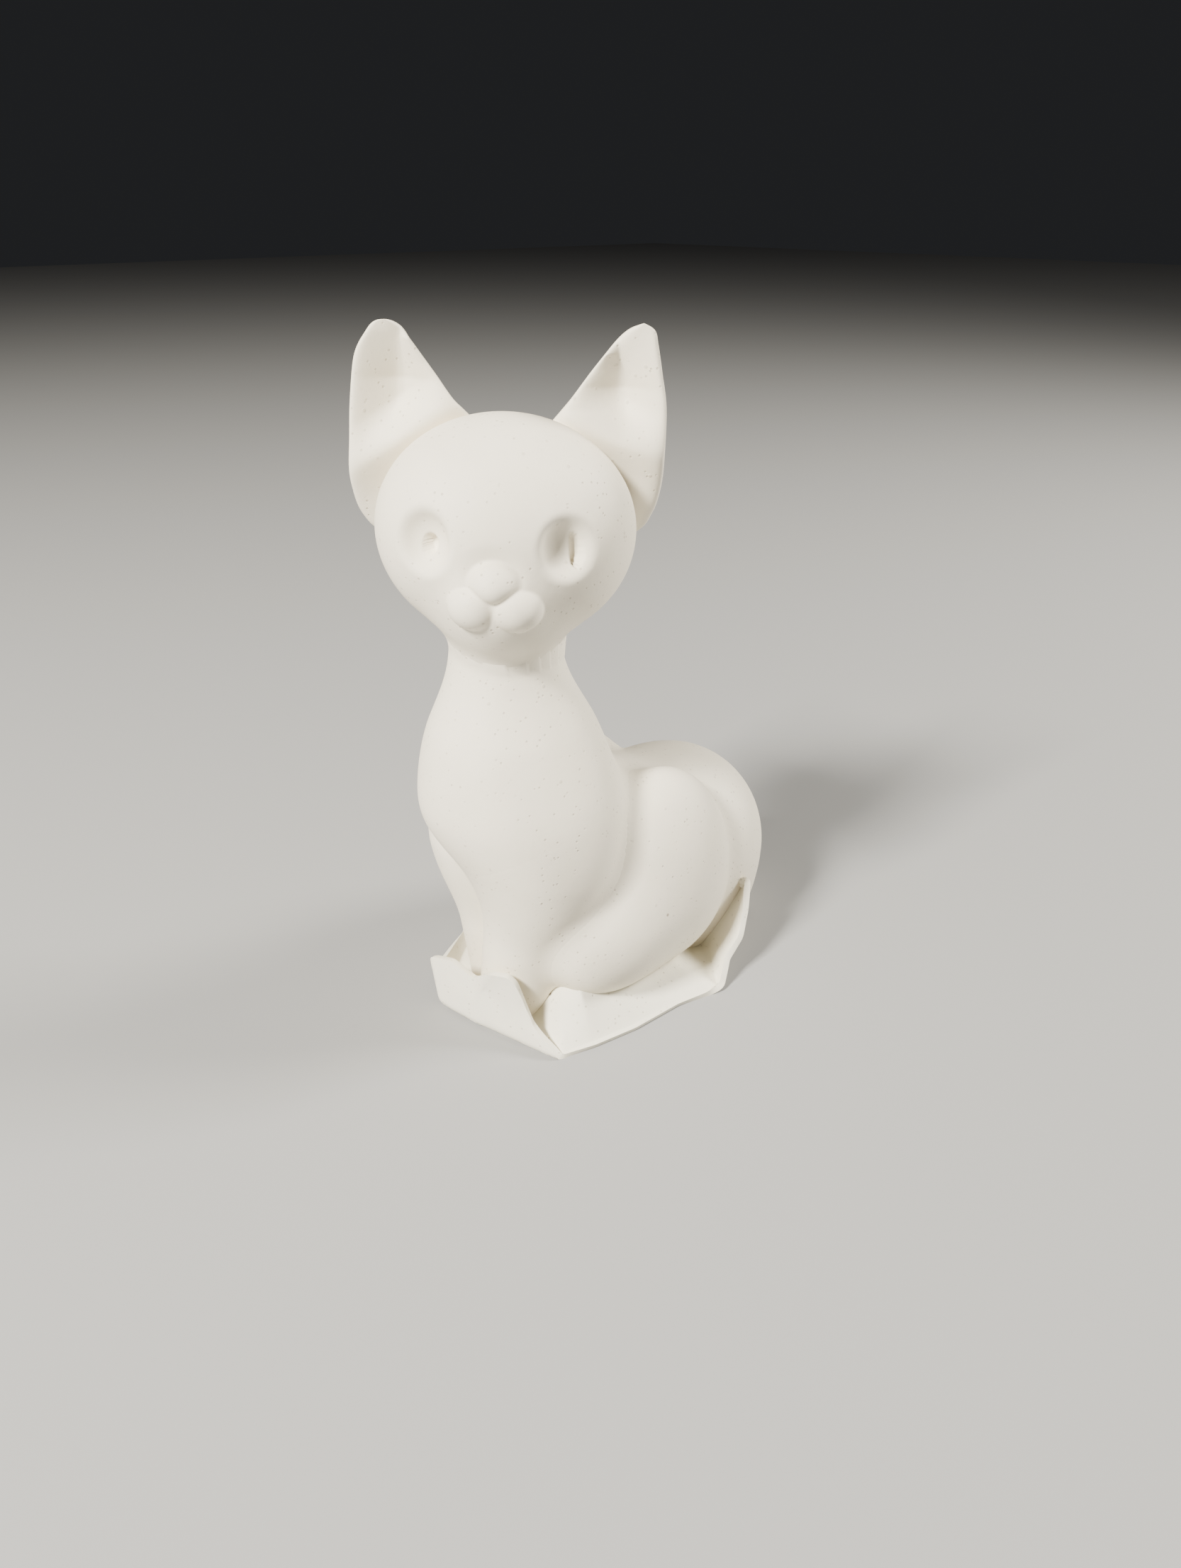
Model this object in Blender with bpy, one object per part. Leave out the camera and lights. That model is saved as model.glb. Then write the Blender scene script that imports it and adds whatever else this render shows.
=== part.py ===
"""Ceramic cat figurine: a seated cat with tall ears, cast and modelled in twelve pieces.

Metres, +Z up.  The cat sits along Y and faces -Y; its left side is +X.  The origin is on
the ground.  Its head is turned to its left.  The forms are eggs and rolls of clay, joined
with slip that was smoothed over: the slip widths below say how far.
"""
import math

import bmesh
import bpy
import numpy as np

MM = 0.001

# Joints and walls
SEAM = 0.3 * MM            # slip-filled joint between two pieces
GRAZE = 0.7                # share of a ray's length that counts across the seam
WALL = 4.0 * MM            # wall of the hollow body casting
POUR_HOLE_RADIUS = 12.0 * MM
POUR_HOLE_Y = 19.0 * MM
HOLLOW_TOP = 64.0 * MM

# How far the slip was smoothed at each joint
NECK_SLIP = 11.0 * MM
LOIN_SLIP = 9.0 * MM
LEFT_SHOULDER_SLIP = 9.0 * MM
RIGHT_SHOULDER_SLIP = 1.5 * MM
SHANK_SLIP = 8.0 * MM
KNEE_SLIP = 10.0 * MM
HAUNCH_SLIP = 1.4 * MM
FLANK_SLIP = 5.0 * MM
FOOT_SLIP = 1.2 * MM
HEAD_SLIP = 3.5 * MM
DRAWN_BACK = 1.6           # how steeply a piece draws back under its neighbours

# Head
HEAD_HALF_WIDTH = 24.2 * MM
HEAD_HALF_DEPTH = 20.5 * MM
HEAD_HALF_HEIGHT = 21.3 * MM
HEAD_Y = -20.6 * MM
HEAD_Z = 104.2 * MM
HEAD_TURN = math.radians(44.5)
HEAD_ROLL = math.radians(2.0)
EYE_SPACING = 23.8 * MM
EYE_RISE = 1.3 * MM
EYE_RADIUS = 6.1 * MM
EYE_OUT = 1.0 * MM         # middle of the ball that hollows an eye, in front of the skull
NOSE_DROP = 3.4 * MM
NOSE_HALF_WIDTH = 4.8 * MM
NOSE_LENGTH = 3.6 * MM
MUZZLE_DROP = 7.6 * MM
MUZZLE_RADIUS = 9.0 * MM
LIP_SPACING = 8.6 * MM
LIP_DROP = 10.1 * MM
LIP_RADIUS = 4.9 * MM

# Ears, measured from the middle of the head
EAR_HEIGHT = 36.4 * MM
RIGHT_EAR_HEIGHT = 35.2 * MM
EAR_REACH = 28.4 * MM
RIGHT_EAR_REACH = 30.6 * MM
EAR_TIP = 23.2 * MM
RIGHT_EAR_TIP = 22.4 * MM
EAR_THICKNESS = 3.4 * MM
EAR_DISH = 5.0 * MM        # depth of the hollow in front
EAR_BACK = 3.6 * MM        # front of the ear behind the middle of the head

# Body: neck, chest, loin, rump and belly
NECK_RADIUS = 9.9 * MM
NECK_FOOT_RADIUS = 12.0 * MM
NECK_Y = -22.2 * MM
NECK_FOOT_Z = 66.0 * MM
CHEST_Y = -20.6 * MM
CHEST_Z = 50.5 * MM
CHEST_HALF_WIDTH = 20.0 * MM
CHEST_HALF_DEPTH = 20.3 * MM
CHEST_RISE = 23.0 * MM
CHEST_DROP = 17.0 * MM
LOIN_FRONT_Y = -12.0 * MM
LOIN_FRONT_Z = 40.0 * MM
LOIN_FRONT_RADIUS = 14.5 * MM
LOIN_BACK_Y = 24.0 * MM
LOIN_BACK_Z = 22.0 * MM
LOIN_BACK_RADIUS = 20.2 * MM
RUMP_Y = 23.4 * MM
RUMP_Z = 20.0 * MM
RUMP_HALF_WIDTH = 22.0 * MM
RUMP_HALF_LENGTH = 25.2 * MM
RUMP_RISE = 25.0 * MM
RUMP_DROP = 33.0 * MM
BELLY_Y = 1.0 * MM
BELLY_HALF_WIDTH = 13.0 * MM
BELLY_HALF_LENGTH = 13.0 * MM
BELLY_RISE = 22.0 * MM

# Forelegs
SHOULDER_X = 8.5 * MM
SHOULDER_Y = -19.0 * MM
SHOULDER_Z = 40.0 * MM
SHOULDER_HALF_WIDTH = 13.5 * MM
SHOULDER_HALF_DEPTH = 14.5 * MM
SHOULDER_HALF_HEIGHT = 19.0 * MM
ELBOW_X = 7.5 * MM
ELBOW_Y = -20.5 * MM
ELBOW_Z = 36.0 * MM
ELBOW_RADIUS = 11.5 * MM
PAW_Z = 4.0 * MM
LEFT_PAW_X = 4.8 * MM
LEFT_PAW_Y = -26.0 * MM
LEFT_PAW_RADIUS = 8.0 * MM
RIGHT_PAW_X = -6.6 * MM
RIGHT_PAW_Y = -21.5 * MM
RIGHT_PAW_RADIUS = 7.0 * MM

# Haunches and hind feet
HIP_X = 13.5 * MM
HIP_Y = 5.5 * MM
HIP_Z = 22.0 * MM
HIP_HALF_WIDTH = 13.0 * MM
HIP_HALF_LENGTH = 21.0 * MM
HIP_RISE = 28.5 * MM
HIP_DROP = 19.0 * MM
KNEE_X = 16.0 * MM
KNEE_Y = -12.0 * MM
KNEE_Z = 16.0 * MM
KNEE_HALF_WIDTH = 9.5 * MM
KNEE_HALF_LENGTH = 12.5 * MM
KNEE_RISE = 13.0 * MM
KNEE_DROP = 11.0 * MM
HIND_FOOT_X = 16.0 * MM
HIND_FOOT_Y = -4.0 * MM
HIND_FOOT_LENGTH = 26.0 * MM
HIND_FOOT_WIDTH = 14.0 * MM
HIND_FOOT_HEIGHT = 7.5 * MM
TOES_OUT = math.radians(10.0)

# Tail
TAIL_RADIUS = 5.0 * MM
TAIL_TIP_RADIUS = 3.2 * MM

# Skirt
SKIRT_THICKNESS = 1.6 * MM
SKIRT_MARGIN = 3.5 * MM    # how far the sheet runs out beside the haunch

CREAM = (0.82, 0.79, 0.72, 1.0)
ROUGHNESS = 0.62


def clear_scene():
    for old in list(bpy.data.objects):
        bpy.data.objects.remove(old, do_unlink=True)


def fired_clay(name):
    """Matte warm white fired clay."""
    clay = bpy.data.materials.new(name + "_clay")
    clay.use_nodes = True
    shader = clay.node_tree.nodes["Principled BSDF"]
    shader.inputs["Base Color"].default_value = CREAM
    shader.inputs["Roughness"].default_value = ROUGHNESS
    shader.inputs["Metallic"].default_value = 0.0
    return clay


def loft(name, rings, endless=False):
    """A closed solid through rings of points.  Its ends close on the middle of their ring,
    or, where it is endless, its last ring joins its first."""
    form = bmesh.new()
    loops = [[form.verts.new(point) for point in ring] for ring in rings]
    count = len(loops[0])
    onward = loops[1:] + loops[:1] if endless else loops[1:]
    for lower, upper in zip(loops, onward):
        for side in range(count):
            after = (side + 1) % count
            form.faces.new((lower[side], lower[after], upper[after]))
            form.faces.new((lower[side], upper[after], upper[side]))
    for end in () if endless else (loops[0], loops[-1]):
        middle = form.verts.new(np.mean([vert.co for vert in end], axis=0))
        for side in range(count):
            form.faces.new((end[side], end[(side + 1) % count], middle))
    bmesh.ops.recalc_face_normals(form, faces=form.faces)
    return solid(name, form)


def solid(name, form):
    """An object from a bmesh, shaded smooth."""
    mesh = bpy.data.meshes.new(name)
    form.to_mesh(mesh)
    form.free()
    mesh.shade_smooth()
    piece = bpy.data.objects.new(name, mesh)
    bpy.context.collection.objects.link(piece)
    return piece


def box(name, low, high):
    form = bmesh.new()
    bmesh.ops.create_cube(form, size=1.0)
    for vert in form.verts:
        vert.co = [low[axis] if vert.co[axis] < 0 else high[axis] for axis in range(3)]
    return solid(name, form)


def hide(cutter):
    cutter.hide_render = True
    cutter.display_type = "WIRE"
    return cutter


def grown(piece, margin):
    """A hidden copy of a piece, larger by a margin all round, for cutting its neighbours."""
    copy = bpy.data.objects.new(piece.name + "_seat", piece.data.copy())
    bpy.context.collection.objects.link(copy)
    swell = copy.modifiers.new("swell", "DISPLACE")
    swell.mid_level = 0.0
    swell.strength = margin
    return hide(copy)


def cut(piece, *cutters):
    """Take a piece's cutters from it, all in one step."""
    tools = bpy.data.collections.new(piece.name + "_cutters")
    for cutter in cutters:
        tools.objects.link(cutter)
    seat = piece.modifiers.new("seat", "BOOLEAN")
    seat.operation = "DIFFERENCE"
    seat.solver = "EXACT"
    seat.operand_type = "COLLECTION"
    seat.collection = tools


def smooth_through(stations, count):
    """Points on a smooth curve through the stations, one row a station."""
    rows = np.asarray(stations, dtype=float)
    ends = np.vstack([2 * rows[0] - rows[1], rows, 2 * rows[-1] - rows[-2]])
    steps = np.linspace(0, len(rows) - 1, count)
    at = np.minimum(steps.astype(int), len(rows) - 2)
    part = (steps - at)[:, None]
    before, start, stop, after = (ends[at + shift] for shift in range(4))
    slope_in = (stop - before) / 2
    slope_out = (after - start) / 2
    return ((2 * part ** 3 - 3 * part ** 2 + 1) * start + (part ** 3 - 2 * part ** 2 + part) * slope_in
            + (3 * part ** 2 - 2 * part ** 3) * stop + (part ** 3 - part ** 2) * slope_out)


def around(count):
    return np.linspace(0, 2 * math.pi, count, endpoint=False)


def slip_join(first, second, width):
    """The nearer of two forms, rounded off where they are about equally near."""
    near = np.maximum(width - np.abs(first - second), 0) / width
    return np.minimum(first, second) - near * near * width / 4


def egg(p, centre, half_width, half_length, rise, drop=None, turn=0.0):
    """Distance from an egg: its half height is the rise above its middle and the drop below."""
    x, y, z = (p[..., axis] - centre[axis] for axis in range(3))
    x, y = x * math.cos(turn) + y * math.sin(turn), y * math.cos(turn) - x * math.sin(turn)
    half_height = np.where(z < 0, rise if drop is None else drop, rise)
    scaled = np.sqrt((x / half_width) ** 2 + (y / half_length) ** 2 + (z / half_height) ** 2)
    slope = np.sqrt((x / half_width ** 2) ** 2 + (y / half_length ** 2) ** 2 + (z / half_height ** 2) ** 2)
    return scaled * (scaled - 1) / np.maximum(slope, 1e-9)


def roll(p, start, end, first_radius, last_radius):
    """Distance from a roll of clay that tapers from its start to its end."""
    start, axis = np.array(start), np.subtract(end, start)
    along = np.clip((p - start) @ axis / (axis @ axis), 0, 1)
    radius = first_radius + (last_radius - first_radius) * along
    return np.linalg.norm(p - start - along[..., None] * axis, axis=-1) - radius


def into_head(p):
    """Points in the head's own frame, face along -Y: the reverse of head_place."""
    x, y, z = p[..., 0], p[..., 1] - HEAD_Y, p[..., 2] - HEAD_Z
    side = x * math.cos(HEAD_TURN) + y * math.sin(HEAD_TURN)
    deep = y * math.cos(HEAD_TURN) - x * math.sin(HEAD_TURN)
    return np.stack([side * math.cos(HEAD_ROLL) - z * math.sin(HEAD_ROLL), deep,
                     z * math.cos(HEAD_ROLL) + side * math.sin(HEAD_ROLL)], axis=-1)


def head_place(points):
    """Points of the head's own frame, put in their place on the neck."""
    across, deep, up = np.moveaxis(np.asarray(points), -1, 0)
    leaned = across * math.cos(HEAD_ROLL) + up * math.sin(HEAD_ROLL)
    risen = up * math.cos(HEAD_ROLL) - across * math.sin(HEAD_ROLL)
    return np.stack([leaned * math.cos(HEAD_TURN) - deep * math.sin(HEAD_TURN),
                     leaned * math.sin(HEAD_TURN) + deep * math.cos(HEAD_TURN) + HEAD_Y,
                     risen + HEAD_Z], axis=-1)


def head_form(p):
    """An egg with a muzzle pad, two lips and the nose, and with a bowl for each eye."""
    q = into_head(p)
    half = np.stack([np.abs(q[..., 0]), q[..., 1], q[..., 2]], axis=-1)
    face = HEAD_HALF_DEPTH
    form = egg(q, (0, 0, 0), HEAD_HALF_WIDTH, HEAD_HALF_DEPTH, HEAD_HALF_HEIGHT)
    pad = egg(q, (0, 0.8 * MUZZLE_RADIUS - face, -MUZZLE_DROP), MUZZLE_RADIUS, MUZZLE_RADIUS, MUZZLE_RADIUS)
    form = slip_join(form, pad, MUZZLE_RADIUS / 3)
    eye = egg(half, (EYE_SPACING / 2, -face - EYE_OUT, EYE_RISE), EYE_RADIUS, 0.85 * EYE_RADIUS, EYE_RADIUS)
    form = -slip_join(-form, eye, EYE_RADIUS / 2.4)
    lip = egg(half, (LIP_SPACING / 2, 0.4 * LIP_RADIUS - face, -LIP_DROP),
              LIP_RADIUS, 0.92 * LIP_RADIUS, LIP_RADIUS)
    nose = egg(q, (0, 0.2 * NOSE_LENGTH - face, -NOSE_DROP),
               NOSE_HALF_WIDTH, NOSE_LENGTH, 0.85 * NOSE_HALF_WIDTH)
    return slip_join(slip_join(form, lip, LIP_RADIUS / 5), nose, NOSE_LENGTH / 4)


def cat_forms(p):
    """Distances from the forms the cat is put together of, by piece."""
    neck = roll(p, (0, NECK_Y, HEAD_Z - HEAD_HALF_HEIGHT / 3), (0, NECK_Y, NECK_FOOT_Z),
                NECK_RADIUS, NECK_FOOT_RADIUS)
    chest = egg(p, (0, CHEST_Y, CHEST_Z), CHEST_HALF_WIDTH, CHEST_HALF_DEPTH, CHEST_RISE, CHEST_DROP)
    loin = roll(p, (0, LOIN_FRONT_Y, LOIN_FRONT_Z), (0, LOIN_BACK_Y, LOIN_BACK_Z),
                LOIN_FRONT_RADIUS, LOIN_BACK_RADIUS)
    rump = egg(p, (0, RUMP_Y, RUMP_Z), RUMP_HALF_WIDTH, RUMP_HALF_LENGTH, RUMP_RISE, RUMP_DROP)
    belly = egg(p, (0, BELLY_Y, 0), BELLY_HALF_WIDTH, BELLY_HALF_LENGTH, BELLY_RISE)
    forms = {
        "front": slip_join(slip_join(neck, chest, NECK_SLIP), loin, LOIN_SLIP),
        "rump": slip_join(rump, belly, FLANK_SLIP),
        "head": head_form(p),
    }
    paws = {"left": (1, LEFT_PAW_X, LEFT_PAW_Y, LEFT_PAW_RADIUS),
            "right": (-1, RIGHT_PAW_X, RIGHT_PAW_Y, RIGHT_PAW_RADIUS)}
    for name, (side, paw_x, paw_y, paw_radius) in paws.items():
        shoulder = egg(p, (side * SHOULDER_X, SHOULDER_Y, SHOULDER_Z), SHOULDER_HALF_WIDTH,
                       SHOULDER_HALF_DEPTH, SHOULDER_HALF_HEIGHT)
        shank = roll(p, (side * ELBOW_X, ELBOW_Y, ELBOW_Z), (paw_x, paw_y, PAW_Z), ELBOW_RADIUS, paw_radius)
        forms[name + "_foreleg"] = slip_join(shoulder, shank, SHANK_SLIP)
        hip = egg(p, (side * HIP_X, HIP_Y, HIP_Z), HIP_HALF_WIDTH, HIP_HALF_LENGTH, HIP_RISE, HIP_DROP)
        knee = egg(p, (side * KNEE_X, KNEE_Y, KNEE_Z), KNEE_HALF_WIDTH, KNEE_HALF_LENGTH,
                   KNEE_RISE, KNEE_DROP)
        forms[name + "_haunch"] = slip_join(hip, knee, KNEE_SLIP)
        forms[name + "_hind_foot"] = egg(p, (side * HIND_FOOT_X, HIND_FOOT_Y, 0), HIND_FOOT_WIDTH / 2,
                                         HIND_FOOT_LENGTH / 2, HIND_FOOT_HEIGHT, turn=-side * TOES_OUT)
    return forms


def joined(forms):
    """Distance from all the forms, joined with slip."""
    fore = slip_join(forms["front"], forms["left_foreleg"], LEFT_SHOULDER_SLIP)
    fore = slip_join(fore, forms["right_foreleg"], RIGHT_SHOULDER_SLIP)
    haunches = np.minimum(forms["left_haunch"], forms["right_haunch"])
    cat = slip_join(fore, slip_join(forms["rump"], haunches, HAUNCH_SLIP), FLANK_SLIP)
    feet = np.minimum(forms["left_hind_foot"], forms["right_hind_foot"])
    return slip_join(slip_join(cat, feet, FOOT_SLIP), forms["head"], HEAD_SLIP)


def share(name, p):
    """Distance from one piece: the joined cat where its own form is nearest; it draws back
    inside its neighbours."""
    forms = cat_forms(p)
    cat = joined(forms)
    forms["body"] = slip_join(forms.pop("front"), forms.pop("rump"), FLANK_SLIP)
    own = forms.pop(name)
    return cat + DRAWN_BACK * np.maximum(own - np.minimum.reduce(list(forms.values())), 0)


def rays_round(pole, rows, columns, crowd=1.0):
    """Directions in rings round a pole, closer together near it where crowded."""
    pole = np.array(pole) / np.linalg.norm(pole)
    side = np.cross(pole, (0, 0, 1) if abs(pole[2]) < 0.9 else (1, 0, 0))
    side /= np.linalg.norm(side)
    tilt = math.pi * ((np.arange(rows) + 0.5) / rows)[:, None, None] ** crowd
    turn = around(columns)[None, :, None]
    return np.cos(tilt) * pole + np.sin(tilt) * (np.cos(turn) * side + np.sin(turn) * np.cross(pole, side))


def reach_along(rays, centre, distance):
    """How far along each ray from the centre the outermost point lies where the distance is
    nothing, by even steps and then by halving."""
    steps = np.linspace(HEAD_Z, 0, 106)
    outer = np.full(rays.shape[:2], steps[0])
    found = np.zeros(rays.shape[:2], dtype=bool)
    for near in steps:
        found |= distance(centre + near * rays) < 0
        outer = np.where(found, outer, near)
    inner = np.maximum(outer - (steps[0] - steps[1]), 0)
    for _ in range(12):
        middle = (inner + outer) / 2
        inside = distance(centre + middle[..., None] * rays) < 0
        inner = np.where(inside, middle, inner)
        outer = np.where(inside, outer, middle)
    return outer[..., None]


def evened(lengths):
    """Lengths of rays evened out between neighbours, round the rings and across them."""
    lengths = (np.roll(lengths, 1, axis=1) + 2 * lengths + np.roll(lengths, -1, axis=1)) / 4
    lengths[1:-1] = (lengths[:-2] + 2 * lengths[1:-1] + lengths[2:]) / 4
    return lengths


def piece_and_seat(name, centre, rays, even=True):
    """A piece of the cat round a centre, and the hidden seat it leaves in its neighbours,
    which is larger by the seam."""
    centre = np.array(centre)
    lengths = reach_along(rays, centre, lambda p: share(name, p))
    if even:
        lengths = evened(lengths)
    seat = loft(name + "_seat", centre + (lengths + SEAM / GRAZE) * rays)
    return loft(name, centre + lengths * rays), hide(seat)


def body_cutters(middle):
    """Cutters for the hollow of the body casting, above its floor, and for the pour hole."""
    rays = rays_round((0, 0, 1), 12, 16)
    wall = reach_along(rays, middle, lambda p: np.maximum(share("body", p) + WALL, p[..., 2] - HOLLOW_TOP))
    hollow = hide(loft("hollow", middle + evened(wall) * rays))
    cut(hollow, hide(box("hollow_floor", (-0.1, -0.1, -0.1), (0.1, 0.1, WALL))))
    form = bmesh.new()
    bmesh.ops.create_cone(form, cap_ends=True, segments=32, radius1=POUR_HOLE_RADIUS,
                          radius2=POUR_HOLE_RADIUS, depth=4 * WALL)
    bmesh.ops.translate(form, verts=form.verts, vec=(0, POUR_HOLE_Y, 0))
    return hollow, hide(solid("pour_hole", form))


def make_ear(name, side, reach, height, tip):
    """A leaf between an inner and an outer edge.  Its front is set back by a dish, deepest
    along an upright valley and closed below by a lobe that turns away from the face."""
    rows, columns = 14, 16
    inner = smooth_through([(0.16 * reach, 0.42 * height), (0.31 * reach, 0.57 * height),
                            (0.16 * reach + tip / 2, 0.84 * height), (tip - 0.07 * reach, 0.97 * height),
                            (tip, height)], rows)
    outer = smooth_through([(0.4 * reach, -0.1 * height), (0.8 * reach, -0.13 * height),
                            (0.95 * reach, 0.08 * height), (reach, 0.38 * height),
                            (0.96 * reach, 0.76 * height), (tip + 0.06 * reach, 0.96 * height),
                            (tip, height)], rows)
    turn = around(columns)
    part = (1 - np.cos(turn)) / 2
    leaf = inner[:-1, None] + (outer - inner)[:-1, None] * part[:, None]
    across, up = leaf[..., 0] / reach, leaf[..., 1] / height
    off = np.abs(across - 0.71) / np.where(across < 0.71, 0.3, 0.29)
    lobe = np.maximum(up - (0.42 - 0.35 * (across - 0.73)), -0.45)
    opened = np.clip(4 * lobe + 0.1, 0, 1)
    dish = EAR_DISH * np.clip(1.1 - off, 0, 1) * opened ** 2 * (3 - 2 * opened) * np.clip(3 - 3 * up, 0, 1)
    turned = 0.31 * height * (np.sqrt(lobe ** 2 + 0.005) - lobe)
    level = np.linspace(0, 1, rows)[:-1, None]
    rim = np.sqrt(1 - (1 - 2 * part) ** 6) * np.sqrt(1 - level ** 6)
    wall = EAR_THICKNESS / 2 * (1 + rim * np.where(np.sin(turn) > 0, -1, 1))
    return loft(name, head_place(np.stack([side * leaf[..., 0], EAR_BACK + dish + turned + wall,
                                           leaf[..., 1]], axis=-1)))


def make_tail():
    """A tapered roll that leaves the rump and lies on the skirt along the right side."""
    clear = HIP_X + HIP_HALF_WIDTH + TAIL_RADIUS
    end = RUMP_Y + RUMP_HALF_LENGTH
    path = smooth_through([(0, end - TAIL_RADIUS / 2), (-0.4 * clear, end - TAIL_RADIUS / 2),
                           (-0.8 * clear, end - 0.4 * clear), (-clear, HIP_Y + 0.3 * HIP_HALF_LENGTH),
                           (-0.97 * clear, HIP_Y - HIP_HALF_LENGTH / 2)], 18)
    ahead = np.gradient(path, axis=0)
    ahead /= np.linalg.norm(ahead, axis=1, keepdims=True)
    turn = around(12)
    rest = SKIRT_THICKNESS + SEAM
    rings = []
    for (x, y), (east, north), along in zip(path, ahead, np.linspace(0, 1, len(path))):
        radius = TAIL_RADIUS + (TAIL_TIP_RADIUS - TAIL_RADIUS) * along
        radius *= math.sqrt(max(1 - along ** 12, 0.05))
        wide = radius * np.cos(turn)
        rings.append(np.stack([x - north * wide, y + east * wide,
                               rest + TAIL_RADIUS + radius * np.sin(turn)], axis=1))
    return loft("tail", rings)


def under_cat(roots, folds):
    """The skirt's inner edge: the last place along each line from root to fold that is
    under the clay of the cat by a skirt's thickness."""
    along = np.linspace(0, 0.8, 41)[:, None, None]
    lines = roots + (folds - roots) * along
    under = joined(cat_forms(lines)) < -SKIRT_THICKNESS
    last = np.where(under, along[..., 0], 0).max(axis=0)[:, None]
    return roots + (folds - roots) * last


def make_skirt():
    """A thin sheet round the base: from a root inside the cat to a fold on the ground, on to a
    crease and to its rim.  It is turned up in front of the paws and behind the left haunch,
    and it slopes down from the left haunch to the ground."""
    stations = [
        # root, fold, crease and rim, in thirtieths of the reach to the left edge
        (13, -21, 10, 23.4, -29.2, 1.4, 24.2, -29.7, 1.1, 25.0, -30.2, 1.0),
        (18.5, -20.5, 12, 25.4, -22.6, 1.6, 26.3, -22.8, 1.2, 27.2, -23.0, 1.0),
        (20, -13, 9, 27.0, -13.0, 1.6, 27.9, -13.0, 1.2, 28.8, -13.0, 1.0),
        (17, -4, 8, 27.3, -1.0, 1.6, 28.2, -0.8, 1.2, 29.1, -0.6, 1.0),
        (17, 6, 6.5, 28.8, 7.0, 1.6, 29.8, 7.2, 1.2, 30.6, 7.4, 1.0),
        (16, 11, 3.5, 29.0, 11.6, 1.6, 29.4, 11.8, 2.2, 29.6, 11.8, 3.0),
        (15, 15, 2, 27.8, 16.2, 2.2, 26.8, 15.8, 5.2, 25.6, 15.0, 8.2),
        (16, 19, 2, 26.6, 20.0, 4.5, 25.2, 19.8, 8.5, 24.2, 19.4, 12.6),
        (14, 24, 3, 24.4, 26.0, 8.0, 24.4, 26.4, 13.5, 24.4, 26.6, 19.6),
        (8, 32, 1.5, 13.5, 42.0, 1.3, 14.5, 43.6, 2.2, 15.4, 45.0, 3.6),
        (0, 34, 1.5, 0.0, 49.5, 1.3, 0.0, 51.5, 1.6, 0.0, 53.5, 2.0),
        (-10, 32, 1.5, -18.0, 49.0, 1.3, -19.0, 50.4, 2.6, -20.0, 51.6, 4.0),
        (-16, 20, 1.5, -35.0, 23.0, 1.3, -36.2, 23.5, 2.0, -37.4, 24.0, 3.0),
        (-16, 2, 1.5, -36.0, -3.0, 1.3, -37.0, -3.2, 2.4, -38.0, -3.4, 3.6),
        (-14, -8, 1.5, -23.0, -17.0, 1.3, -23.6, -17.8, 1.8, -24.2, -18.6, 2.4),
        (-6, -22, 3, -6.6, -37.4, 0.9, -8.4, -37.0, 5.6, -10.2, -36.5, 10.5),
        (-5, -22, 3, -3.0, -37.2, 0.9, -3.3, -36.8, 6.8, -3.6, -36.1, 12.8),
        (-1, -24.5, 3, 4.6, -35.9, 0.9, 3.6, -35.4, 5.8, 2.5, -34.7, 10.7),
        (3, -26, 3, 11.5, -34.1, 0.9, 9.0, -33.7, 8.2, 11.7, -33.1, 15.6),
        (6, -25, 4, 16.7, -32.6, 0.9, 15.0, -32.5, 5.3, 14.8, -31.6, 9.9),
        (8, -23.5, 6, 20.0, -31.3, 1.2, 19.8, -31.6, 2.2, 19.6, -31.5, 3.6),
    ]
    reach = HIP_X + HIP_HALF_WIDTH + SKIRT_MARGIN
    line = np.array(stations + stations[:1]).reshape(-1, 4, 3) * reach / 30
    steps = np.arange(0, len(stations), 1 / 2)
    at = steps.astype(int)
    part = (steps - at)[:, None, None]
    sweep = line[at] * (1 - part) + line[at + 1] * part
    sweep = (np.roll(sweep, 1, axis=0) + 2 * sweep + np.roll(sweep, -1, axis=0)) / 4
    sweep[:, 0] = under_cat(sweep[:, 0], sweep[:, 1])
    outward = np.linspace(0, 1, 4)[:-1, None]
    sheet = np.concatenate([sweep[:, None, 0] * (1 - outward) + sweep[:, None, 1] * outward,
                            sweep[:, None, 1] * (1 - outward) + sweep[:, None, 2] * outward,
                            sweep[:, None, 2] * (1 - outward) + sweep[:, None, 3] * outward,
                            sweep[:, 3:]], axis=1)
    along = np.roll(sheet, -1, axis=0) - np.roll(sheet, 1, axis=0)
    normal = np.cross(np.gradient(sheet, axis=1), along)
    for _ in range(3):
        normal /= np.linalg.norm(normal, axis=2, keepdims=True)
        normal = np.roll(normal, 1, axis=0) + 2 * normal + np.roll(normal, -1, axis=0)
    normal /= np.linalg.norm(normal, axis=2, keepdims=True)
    section = np.concatenate([sheet, (sheet - normal * SKIRT_THICKNESS)[:, ::-1]], axis=1)
    section[..., 2] = np.maximum(section[..., 2], 0.0)
    return loft("skirt", section, endless=True)


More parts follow.
